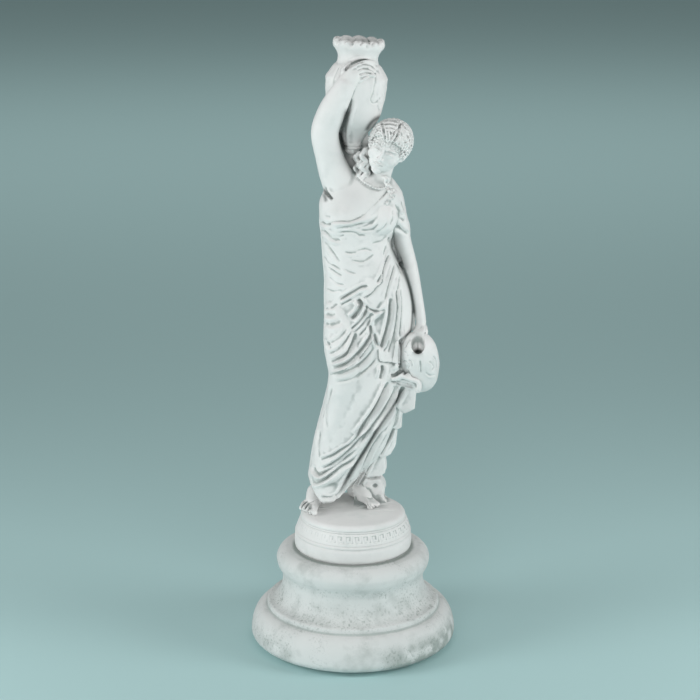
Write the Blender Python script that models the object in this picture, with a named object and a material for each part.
"""Garden fountain statue: a water carrier in cast stone, standing on a loose round plinth.

Two solids. The statue is one casting: the draped woman, the amphora on her shoulder, the pouring jug in
her hand and the round base under her feet. The plinth is a turned ring of stone that the casting rests on.
Metres, +Z up, the origin on the ground under the plinth's centre, and the statue looks towards -Y.
"""

import math

import bmesh
import bpy
import numpy as np
from mathutils import Matrix, Vector

# Driving dimensions of the turned stone, in metres
PLINTH_HEIGHT = 0.256
PLINTH_RADIUS = 0.265
PLINTH_FOOT_ROUND = 0.030
PLINTH_TORUS_HEIGHT = 0.098
PLINTH_BEAD_RADIUS = 0.224
PLINTH_BEAD_SIZE = 0.007
PLINTH_NECK_RADIUS = 0.182
PLINTH_NECK_HEIGHT = 0.178
PLINTH_LIP_RADIUS = 0.198
PLINTH_LIP_SIZE = 0.031
BASE_HEIGHT = 0.099
BASE_RADIUS = 0.151
BASE_TOP_RADIUS = 0.1353
BASE_RIM_HEIGHT = 0.043
BASE_FRIEZE_HEIGHT = 0.042
SEAT_GAP = 0.0003
GROOVE = 0.0022
TURNED_SIDES = 48

# The carved figure. Its pose and carving are shares of FIGURE_HEIGHT, the height of the block that it was
# carved from. One share is a thousandth of it, and all the figure's own numbers are in shares.
FIGURE_HEIGHT = 1.215
SHARE = FIGURE_HEIGHT / 1000
BASE_TOP = PLINTH_HEIGHT + SEAT_GAP + BASE_HEIGHT
CLAY_VOXEL = 4.6
CLAY_TRIANGLES = 6000

# Where the carver stands: folds are drawn on an upright sheet, the plane y = 0, and carried from there
# to the stone along the lines of sight from this point.
EYE = Vector((0, -4053, 1494))

AMPHORA_FOOT = Vector((-1, 25, 758))
AMPHORA_TOP = Vector((10, 25, 992))
AMPHORA_BORE = 24
AMPHORA_BORE_DEPTH = 62
JUG_CENTRE = Vector((142, -12, 326))
JUG_AXIS = Vector((-0.04, -0.40, 0.92)).normalized()
JUG_MOUTH = Vector((133, -46, 366))
JUG_MOUTH_AXIS = Vector((-0.04, -0.72, 0.69)).normalized()
JUG_BORE = 14
JUG_BORE_DEPTH = 40

STATUE_COLOUR = (0.76, 0.79, 0.78, 1.0)
PLINTH_COLOUR = (0.72, 0.75, 0.74, 1.0)
STONE_ROUGHNESS = 0.75


# Curves and surfaces

def curve_through(knots, count):
    """Points on a smooth curve through the knots, evenly spread over its spans."""
    k = np.asarray(knots, float)
    k = np.vstack([2 * k[0] - k[1], k, 2 * k[-1] - k[-2]])
    t = np.linspace(0, len(k) - 3, count)
    i = np.minimum(t.astype(int), len(k) - 4)
    f = (t - i)[:, None]
    a, b, c, d = k[i], k[i + 1], k[i + 2], k[i + 3]
    return 0.5 * (2 * b + (c - a) * f + (2 * a - 5 * b + 4 * c - d) * f**2 + (3 * b - a - 3 * c + d) * f**3)


def skin_rings(bm, rings):
    """Closes a row of rings of points into one tube with flat ends."""
    loops = [[bm.verts.new(p) for p in ring] for ring in rings]
    for low, high in zip(loops, loops[1:]):
        for i in range(len(low)):
            j = (i + 1) % len(low)
            bm.faces.new((low[i], low[j], high[j], high[i]))
    bm.faces.new(loops[0][::-1])
    bm.faces.new(loops[-1])


def limb(bm, knots, sides=16, spans=5, flat=1.0):
    """A round-ended limb. Each knot is x, y, z and the radius there; flat squeezes it front to back."""
    line = curve_through(knots, spans * (len(knots) - 1) + 1)
    centres, radii = line[:, :3], line[:, 3]
    along = np.gradient(centres, axis=0)
    along /= np.linalg.norm(along, axis=1)[:, None]
    ends = [math.sin(a) for a in (0.25, 0.6, 1.0)]
    steps = [-math.cos(a) for a in (0.25, 0.6, 1.0)]
    first = [(centres[0] + along[0] * radii[0] * s, along[0], radii[0] * e) for s, e in zip(steps, ends)]
    last = [(centres[-1] - along[-1] * radii[-1] * s, along[-1], radii[-1] * e) for s, e in zip(steps, ends)]
    stations = first + list(zip(centres, along, radii)) + last[::-1]
    rings = []
    for centre, direction, radius in stations:
        side = np.cross(direction, (0.0, 1.0, 0.0))
        side /= np.linalg.norm(side)
        fore = np.cross(side, direction)
        turn = np.arange(sides) * 2 * math.pi / sides
        rings.append(centre + radius * (np.cos(turn)[:, None] * side - np.sin(turn)[:, None] * fore * flat))
    skin_rings(bm, rings)


def ball(bm, centre, radii, lean=(0, 0, 1)):
    """An egg with its own upright axis leaning along lean."""
    turn = Vector((0, 0, 1)).rotation_difference(Vector(lean)).to_matrix().to_4x4()
    place = Matrix.Translation(centre) @ turn @ Matrix.Diagonal((*radii, 1))
    bmesh.ops.create_uvsphere(bm, u_segments=20, v_segments=12, radius=1, matrix=place)


def slab(bm, outline, back, front):
    """A flat outline in x and z, given depth from back to front."""
    rings = [[(x, y, z) for x, z in outline] for y in (back, front)]
    skin_rings(bm, rings)


def turned(bm, profile, sides, foot=Vector((0, 0, 0)), axis=Vector((0, 0, 1)), swell=None):
    """Turns a profile of radius and height about an axis. swell may change the radius by angle."""
    turn = Vector((0, 0, 1)).rotation_difference(axis).to_matrix()
    rings = []
    for radius, height in profile:
        ring = []
        for i in range(sides):
            angle = 2 * math.pi * i / sides
            r = radius * (swell(angle, height) if swell else 1)
            ring.append(foot + turn @ Vector((r * math.cos(angle), r * math.sin(angle), height)))
        rings.append(ring)
    skin_rings(bm, rings)


def arc(centre, radii, start, end, count):
    """Points of a profile along an arc, angles in degrees from the outward direction."""
    angles = np.radians(np.linspace(start, end, count))
    return [(centre[0] + radii[0] * math.cos(a), centre[1] + radii[1] * math.sin(a)) for a in angles]


# Folds, drawn on the sheet

def on_sheet(points):
    """Where the lines of sight through these points cross the sheet, as x and z."""
    reach = -EYE.y / (points[:, 1] - EYE.y)
    return np.column_stack([points[:, 0] * reach, EYE.z + (points[:, 2] - EYE.z) * reach])


def distance_to(places, line):
    """Each place's distance to a drawn line, and how far along the line its nearest point is."""
    best, share = np.full(len(places), 1e9), np.zeros(len(places))
    for n, (a, b) in enumerate(zip(line, line[1:])):
        span = b - a
        t = np.clip((places - a) @ span / (span @ span), 0, 1)
        d = np.linalg.norm(places - a - t[:, None] * span, axis=1)
        nearer = d < best
        best[nearer] = d[nearer]
        share[nearer] = (n + t[nearer]) / (len(line) - 1)
    return best, share


def fold(places, knots, width, depth):
    """A groove along a drawn line, fading at both ends. A negative depth raises a ridge."""
    away, share = distance_to(places, curve_through(knots, 13))
    return -depth * np.exp(-((away / width) ** 2)) * np.clip(6 * np.minimum(share, 1 - share) + 0.25, 0, 1)


def fold_family(places, first, last, count, width, depth):
    """Grooves spread evenly between two drawn lines."""
    first, last = np.asarray(first, float), np.asarray(last, float)
    rise = np.zeros(len(places))
    for share in np.linspace(0, 1, count):
        rise += fold(places, first + (last - first) * share, width, depth)
    return rise


def ledge(places, knots, reach, height):
    """The hem of an upper layer of cloth: it stands out above the drawn line and thins out going up."""
    line = curve_through(knots, 13)
    away = distance_to(places, line)[0]
    edge = np.interp(places[:, 0], line[:, 0], line[:, 1])
    over = (places[:, 1] > edge) & (places[:, 0] > line[0, 0]) & (places[:, 0] < line[-1, 0])
    return height * over * np.clip(1 - away / reach, 0, 1)


def drapery(points, normals):
    """How far the cloth rises or sinks at each point, in shares."""
    places = on_sheet(points)
    # From the hem at her right foot the folds sweep up to the jug
    rise = fold_family(places, [(-82, 118), (-62, 109), (-17, 133), (25, 187), (55, 262)],
                       [(-76, 34), (-50, 30), (-15, 58), (35, 130), (88, 268)], 4, 5.5, 9)
    rise += fold(places, [(100, 268), (66, 196), (34, 134), (-10, 44)], 6, 10)
    # Swags over the thigh
    rise += fold_family(places, [(-43, 325), (-17, 345), (-1, 373), (5, 402)],
                        [(-28, 308), (8, 329), (30, 361), (43, 394)], 3, 5, 7)
    # The mantle's edge from the elbow across the hip, the pocket under it, and the fan of folds beside it
    rise += fold(places, [(78, 558), (60, 515), (43, 483), (16, 464)], 5, 8)
    rise += fold(places, [(-5, 421), (8, 437), (19, 452)], 8, 13)
    rise += fold(places, [(34, 400), (44, 370), (50, 340)], 6, 9)
    rise += fold(places, [(-26, 460), (-3, 473), (16, 484)], 5, 7)
    rise += fold_family(places, [(76, 552), (66, 490), (57, 436), (55, 384)],
                        [(88, 540), (108, 480), (114, 438), (108, 372)], 4, 4.6, 9)
    rise += ledge(places, [(36, 350), (50, 330), (66, 322), (92, 320)], 70, 9)
    # Creases at the waist, and the band that runs from her left shoulder across the bust
    rise += fold_family(places, [(-59, 597), (-38, 584), (-7, 582), (38, 592)],
                        [(-65, 543), (-44, 526), (-7, 513), (30, 538)], 4, 5, 5)
    rise += ledge(places, [(-62, 610), (-30, 614), (13, 628), (44, 654), (74, 690)], 34, -5)
    rise += fold_family(places, [(74, 678), (44, 645), (13, 622), (-47, 612)],
                        [(92, 640), (56, 616), (13, 602), (-52, 596)], 3, 5, 7)
    rise *= np.clip(-normals[:, 1] * 2 + 0.35, 0, 1)
    # Down the back and sides the cloth hangs in upright folds
    turn = np.arctan2(points[:, 0] - 15, points[:, 1])
    sway = 0.9 * np.sin(points[:, 2] / 75)
    behind = np.clip(normals[:, 1] * 1.6, 0, 1) * np.clip((points[:, 2] - 10) / 60, 0, 1)
    return rise + 4.5 * behind * np.sin(11 * turn + sway)


def hair_waves(points, normals):
    """Waved locks combed back from the parting, over the head but not the face."""
    crown = points - np.array((78.0, -4.0, 792.0))
    around = np.arctan2(crown[:, 0] - 0.3 * crown[:, 2], crown[:, 1])
    on_hair = np.clip(1.6 - np.linalg.norm(crown, axis=1) / 60, 0, 1) * (points[:, 2] > 742)
    face = np.clip(-normals[:, 1] * 2 - 0.5, 0, 1) * np.clip((806 - points[:, 2]) / 14, 0, 1)
    return 3.6 * on_hair * (1 - face) * np.sin(11 * around + 0.12 * crown[:, 2])


# The figure's masses

# Height, left, right, front and back of the draped body, from the hem to the base of the neck
BODY_SECTIONS = (
    (14, -93, -14, -30, 86),
    (60, -95, 16, -40, 92),
    (150, -82, 72, -54, 84),
    (240, -60, 100, -64, 76),
    (296, -50, 106, -66, 72),
    (360, -58, 118, -62, 78),
    (440, -61, 124, -62, 86),
    (500, -61, 112, -60, 82),
    (553, -65, 89, -54, 66),
    (590, -66, 80, -54, 60),
    (640, -71, 92, -58, 60),
    (670, -68, 94, -54, 58),
    (694, -50, 90, -44, 52),
    (722, -10, 62, -26, 42),
)
HEM_LIFT = 52


def draped_body(bm, rings=60, sides=56, squareness=2.4):
    """The standing body in its dress, as one lofted mass whose hem rises to her left."""
    table = curve_through(BODY_SECTIONS, rings)
    loops = []
    for height, left, right, front, back in table:
        loop = []
        for i in range(sides):
            angle = 2 * math.pi * i / sides
            cos, sin = math.cos(angle), math.sin(angle)
            across = math.copysign(abs(cos) ** (2 / squareness), cos)
            deep = math.copysign(abs(sin) ** (2 / squareness), sin)
            x = (left + right) / 2 + (right - left) / 2 * across
            y = (front + back) / 2 + (back - front) / 2 * deep
            lift = HEM_LIFT * max(0, (x + 50) / 80) * max(0, 1 - (height - 14) / 120) ** 2
            loop.append((x, y, height + lift))
        loops.append(loop)
    skin_rings(bm, loops)


def bust_and_neck(bm):
    ball(bm, (-19, -40, 636), (33, 26, 31))
    ball(bm, (60, -38, 634), (32, 26, 31))
    ball(bm, (16, 6, 690), (66, 38, 40))
    limb(bm, [(48, -2, 694, 26), (58, -10, 722, 20), (66, -14, 750, 20)])


FINGERS_ON_AMPHORA = (
    ((-2, -36, 939), (12, -32, 948), (26, -17, 950), (40, -5, 947)),
    ((6, -38, 934), (20, -30, 943), (34, -16, 942), (46, -6, 936)),
    ((12, -37, 927), (24, -31, 935), (34, -25, 934), (43, -16, 931)),
    ((16, -36, 920), (26, -34, 926), (34, -29, 926), (41, -24, 924)),
)


def raised_arm(bm):
    """Her right arm, up to the wrist, the hand laid over the amphora, and the stone left behind the arm."""
    limb(bm, [(-18, 4, 684, 38), (-36, -2, 722, 33), (-49, -12, 762, 28), (-57, -20, 808, 27),
              (-46, -28, 846, 27), (-31, -34, 878, 24), (-17, -38, 904, 21)])
    limb(bm, [(-17, -38, 904, 21), (-3, -37, 924, 20), (9, -34, 936, 14)], flat=0.66)
    # The first finger lies highest on the amphora's neck, and each finger runs from knuckle to bend to tip
    for finger in FINGERS_ON_AMPHORA:
        limb(bm, [(*place, 5.4 - 0.4 * n) for n, place in enumerate(finger)], 8)
    limb(bm, [(-18, -34, 924, 7), (-17, -27, 939, 6), (-9, -21, 948, 5)], 8)
    slab(bm, [(-34, 690), (-46, 760), (-44, 840), (-20, 872), (20, 850), (34, 780), (40, 700)], 44, 14)
    slab(bm, [(-34, 690), (-46, 760), (-48, 840), (-30, 866), (-30, 840), (-32, 770), (-10, 700)], 30, -6)


def lowered_arm(bm):
    """Her left arm, its short sleeve, and the hand closed on the jug's handle."""
    limb(bm, [(76, 2, 676, 26), (85, 8, 640, 24), (97, 16, 600, 18.5), (106, 20, 566, 16.5)], flat=1.1)
    limb(bm, [(106, 20, 566, 16.5), (116, 18, 532, 15.5), (124, 10, 500, 14), (131, 2, 466, 12.5),
              (137, -6, 436, 11.5), (141, -12, 412, 10.5)], flat=1.1)
    limb(bm, [(60, 6, 694, 28), (74, 8, 664, 30), (85, 11, 634, 24), (96, 14, 606, 21)])
    limb(bm, [(141, -12, 412, 11), (140, -14, 400, 14), (138, -16, 388, 13)], flat=1.2)
    for step in range(4):
        across = 150 - 7 * step
        limb(bm, [(across, -18, 402, 5), (across - 1, -30, 394, 4.8), (across - 2, -34, 385, 4.4)], 8)


def head(bm):
    """The bowed head, its waved hair in a roll round the face, and the locks on her neck."""
    lean = Vector((0.30, -0.26, 0.92)).normalized()
    ball(bm, (64, -24, 769), (35, 38, 48), lean)
    ball(bm, (74, -6, 789), (48, 49, 49), lean)
    ball(bm, (82, 34, 770), (26, 24, 24))
    limb(bm, [(30, -26, 778, 10), (20, -26, 756, 12), (12, -30, 734, 12), (14, -34, 716, 8)], 8)
    limb(bm, [(82, -26, 734, 7), (76, -36, 716, 7), (76, -40, 700, 6)], 8)


def foot(bm, heel, toe_line, ankle_height):
    """A bare foot from its heel to the line of its toes, which runs from the big toe to the little one."""
    heel, big, little = (Vector(place) for place in (heel, *toe_line))
    middle = (big + little) / 2
    limb(bm, [(*heel, 15), (*(heel.lerp(middle, 0.3) + Vector((0, 0, 8))), 18),
              (*(heel.lerp(middle, 0.62) + Vector((0, 0, 2))), 16)], 12)
    for n in range(5):
        toe = big.lerp(little, n / 4)
        knuckle = heel.lerp(toe, 0.74)
        size = 7.4 - 0.8 * n
        limb(bm, [(*heel.lerp(toe, 0.5), 12), (knuckle.x, knuckle.y, size + 5, size + 1),
                  (toe.x, toe.y, size - 0.5, size)], 10, spans=3)
    ankle = (heel.x, heel.y - 8, ankle_height)
    limb(bm, [(*heel, 15), (*ankle, 15), (ankle[0] + 6, ankle[1], ankle[2] + 30, 17)], 12)


def feet(bm):
    """Her right foot at the base's edge and her left one set back."""
    foot(bm, (-74, 62, 15), ((-82, -42, 8), (-109, -8, 8)), 42)
    foot(bm, (2, 76, 15), ((36, 0, 7), (52, 17, 7)), 44)


def hanging_cloth(bm):
    """The end of the mantle behind her left leg, in steps, and its hem in front of the jug."""
    steps = [(60, 300), (126, 290), (128, 226), (104, 214), (99, 180), (89, 172)]
    steps += [(86, 134), (73, 120), (58, 114), (30, 110), (20, 200)]
    slab(bm, steps, 62, 8)
    limb(bm, [(90, -52, 330, 7), (70, -62, 316, 7), (76, -66, 300, 7), (100, -66, 302, 7), (126, -58, 300, 7),
              (139, -50, 290, 7), (134, -40, 276, 7)], 8)
    slab(bm, [(78, 316), (80, 296), (138, 296), (126, 262), (96, 264), (80, 250)], 20, -56)


def rock(bm):
    """The rock that carries the casting's weight behind her left foot."""
    slab(bm, [(8, -6), (76, -6), (68, 20), (66, 60), (70, 84), (64, 130), (20, 150), (14, 70)], 96, 30)


AMPHORA_PROFILE = (
    [(0.1, 0), (7, 0), (12, 5), (14, 10)]
    + [(19, 13), (19, 19), (17, 22), (19, 32)]
    + [(32, 52), (48, 74), (57, 100), (62, 128)]
    + [(62.5, 148), (58, 164), (48, 177), (41, 188), (41, 200), (45, 209)]
    + [(52, 219), (53, 225), (47, 233), (36, 234), (0.1, 233)]
)
JUG_PROFILE = (
    [(0.1, -68), (14, -66), (27, -56), (37, -38), (42, -14)]
    + [(42, 8), (38, 30), (29, 47), (18, 56), (0.1, 58)]
)


def amphora_relief(angle, height):
    """The amphora's lip is lobed, and broad leaves stand up its shoulder."""
    lip = max(0, min(1, (height - 209) / 12))
    leaves = max(0, 1 - abs(height - 140) / 44)
    return 1 + 0.07 * lip * math.cos(8 * angle) + 0.035 * leaves * math.cos(7 * angle)


def vessels(bm):
    amphora_lean = (AMPHORA_TOP - AMPHORA_FOOT).normalized()
    turned(bm, AMPHORA_PROFILE, 40, AMPHORA_FOOT, amphora_lean, amphora_relief)
    turned(bm, JUG_PROFILE, 28, JUG_CENTRE, JUG_AXIS)


# Solids

def new_object(name, bm, material=None):
    bmesh.ops.recalc_face_normals(bm, faces=bm.faces)
    mesh = bpy.data.meshes.new(name)
    bm.to_mesh(mesh)
    bm.free()
    if material:
        mesh.materials.append(material)
    made = bpy.data.objects.new(name, mesh)
    bpy.context.scene.collection.objects.link(made)
    return made


def settled(obj, name):
    """A new mesh from what an object's modifiers make of it; the object itself is removed."""
    graph = bpy.context.evaluated_depsgraph_get()
    mesh = bpy.data.meshes.new_from_object(obj.evaluated_get(graph))
    mesh.name = name
    bpy.data.objects.remove(obj)
    made = bpy.data.objects.new(name, mesh)
    bpy.context.scene.collection.objects.link(made)
    return made


def carve(mesh):
    """Moves each point of the clay along its normal by the depth of the folds there."""
    count = len(mesh.vertices)
    points, normals = np.zeros(count * 3), np.zeros(count * 3)
    mesh.vertices.foreach_get("co", points)
    mesh.vertices.foreach_get("normal", normals)
    points, normals = points.reshape(-1, 3), normals.reshape(-1, 3)
    places = on_sheet(points)
    bare_arm = (places[:, 0] > 96) & (places[:, 1] < 606) & (places[:, 1] > 300)
    cloth = np.clip((690 - points[:, 2]) / 12, 0, 1) * np.clip(points[:, 2] / 12, 0, 1)
    arm_gap = np.clip((102 - places[:, 0]) / 6, 0, 1)
    cloth[bare_arm] *= arm_gap[bare_arm]
    rise = drapery(points, normals) * cloth + hair_waves(points, normals)
    points += normals * rise[:, None]
    mesh.vertices.foreach_set("co", points.ravel())


def figure_clay():
    """The figure with its vessels, fused into one closed skin, carved and thinned out."""
    bm = bmesh.new()
    masses = (draped_body, bust_and_neck, raised_arm, lowered_arm, head, feet, hanging_cloth, rock, vessels)
    for mass in masses:
        mass(bm)
    lump = new_object("lump", bm)
    remesh = lump.modifiers.new("fuse", "REMESH")
    remesh.mode = "VOXEL"
    remesh.voxel_size = CLAY_VOXEL
    smooth = lump.modifiers.new("soften", "SMOOTH")
    smooth.factor = 0.5
    smooth.iterations = 3
    clay = settled(lump, "clay")
    carve(clay.data)
    settle = clay.modifiers.new("settle", "SMOOTH")
    settle.factor = 0.4
    settle.iterations = 1
    thin = clay.modifiers.new("thin", "DECIMATE")
    thin.ratio = CLAY_TRIANGLES / (2 * len(clay.data.polygons))
    clay = settled(clay, "statue")
    clay.data.transform(Matrix.Translation((0, 0, BASE_TOP)) @ Matrix.Diagonal((SHARE, SHARE, SHARE, 1)))
    return clay


def base_profile():
    """The round base: a plain rim, a sloping frieze between two grooves, and a rounded top edge."""
    low = PLINTH_HEIGHT + SEAT_GAP
    frieze_low = low + BASE_RIM_HEIGHT
    frieze_high = frieze_low + BASE_FRIEZE_HEIGHT
    edge = BASE_TOP - frieze_high
    return (
        [(0.0001, low), (BASE_RADIUS - 0.002, low), (BASE_RADIUS, low + 0.003)]
        + [(BASE_RADIUS, frieze_low - GROOVE), (BASE_RADIUS - GROOVE, frieze_low - GROOVE / 2)]
        + [(BASE_RADIUS, frieze_low)]
        + [(BASE_TOP_RADIUS, frieze_high - GROOVE), (BASE_TOP_RADIUS - GROOVE, frieze_high - GROOVE / 2)]
        + arc((BASE_TOP_RADIUS - edge, frieze_high), (edge, edge), 0, 80, 5)
        + [(0.0001, BASE_TOP)]
    )


def plinth_profile():
    """The plinth: a broad torus, a bead, a flare up to the neck and a rounded lip."""
    foot = PLINTH_RADIUS - 2 * PLINTH_FOOT_ROUND
    groove = PLINTH_BEAD_RADIUS + 0.002
    bead = (PLINTH_BEAD_RADIUS - PLINTH_BEAD_SIZE, PLINTH_TORUS_HEIGHT + PLINTH_BEAD_SIZE)
    flare = (bead[0] - PLINTH_NECK_RADIUS, PLINTH_NECK_HEIGHT - bead[1] - PLINTH_BEAD_SIZE)
    lip = (PLINTH_LIP_RADIUS - PLINTH_LIP_SIZE, PLINTH_HEIGHT - PLINTH_LIP_SIZE)
    step = PLINTH_LIP_RADIUS - PLINTH_NECK_RADIUS
    rise = lip[1] - PLINTH_NECK_HEIGHT
    torus = (PLINTH_RADIUS - groove, PLINTH_TORUS_HEIGHT - PLINTH_FOOT_ROUND)
    return (
        [(0.0001, 0), (foot, 0)]
        + arc((foot, PLINTH_FOOT_ROUND), (PLINTH_RADIUS - foot, PLINTH_FOOT_ROUND), -60, 0, 3)
        + arc((groove, PLINTH_FOOT_ROUND), torus, 25, 90, 4)
        + arc(bead, (PLINTH_BEAD_SIZE, PLINTH_BEAD_SIZE), -30, 90, 4)
        + arc((bead[0], PLINTH_NECK_HEIGHT), flare, 255, 180, 5)
        + [(PLINTH_NECK_RADIUS + step * 0.25, PLINTH_NECK_HEIGHT + rise * 0.35)]
        + [(PLINTH_NECK_RADIUS + step * 0.8, PLINTH_NECK_HEIGHT + rise * 0.7)]
        + arc(lip, (PLINTH_LIP_SIZE, PLINTH_LIP_SIZE), 0, 90, 5)
        + [(0.0001, PLINTH_HEIGHT)]
    )


def turned_object(name, profile, material=None):
    bm = bmesh.new()
    turned(bm, profile, TURNED_SIDES)
    return new_object(name, bm, material)


def bore(name, mouth, axis, radius, depth):
    """A round cutter that starts outside the mouth and ends depth inside it. All in shares."""
    bm = bmesh.new()
    turned(bm, [(radius, -depth), (radius, 20)], 20, mouth, axis)
    cutter = new_object(name, bm)
    cutter.data.transform(Matrix.Translation((0, 0, BASE_TOP)) @ Matrix.Diagonal((SHARE, SHARE, SHARE, 1)))
    return cutter


def helper(obj):
    obj.hide_render = True
    obj.display_type = "WIRE"


def boolean(obj, other, operation):
    step = obj.modifiers.new(other.name, "BOOLEAN")
    step.operation = operation
    step.solver = "EXACT"
    step.object = other
    helper(other)


def stone(name, colour):
    material = bpy.data.materials.new(name)
    material.use_nodes = True
    shader = material.node_tree.nodes["Principled BSDF"]
    shader.inputs["Base Color"].default_value = colour
    shader.inputs["Roughness"].default_value = STONE_ROUGHNESS
    shader.inputs["Metallic"].default_value = 0.0
    return material


def main():
    for obj in list(bpy.data.objects):
        bpy.data.objects.remove(obj)
    statue = figure_clay()
    statue.data.materials.append(stone("cast_stone", STATUE_COLOUR))
    boolean(statue, turned_object("round_base", base_profile()), "UNION")
    amphora_axis = (AMPHORA_TOP - AMPHORA_FOOT).normalized()
    amphora_bore = bore("amphora_bore", AMPHORA_TOP, amphora_axis, AMPHORA_BORE, AMPHORA_BORE_DEPTH)
    boolean(statue, amphora_bore, "DIFFERENCE")
    boolean(statue, bore("jug_bore", JUG_MOUTH, JUG_MOUTH_AXIS, JUG_BORE, JUG_BORE_DEPTH), "DIFFERENCE")
    plinth = turned_object("plinth", plinth_profile(), stone("plinth_stone", PLINTH_COLOUR))
    plinth.data.shade_smooth()


main()
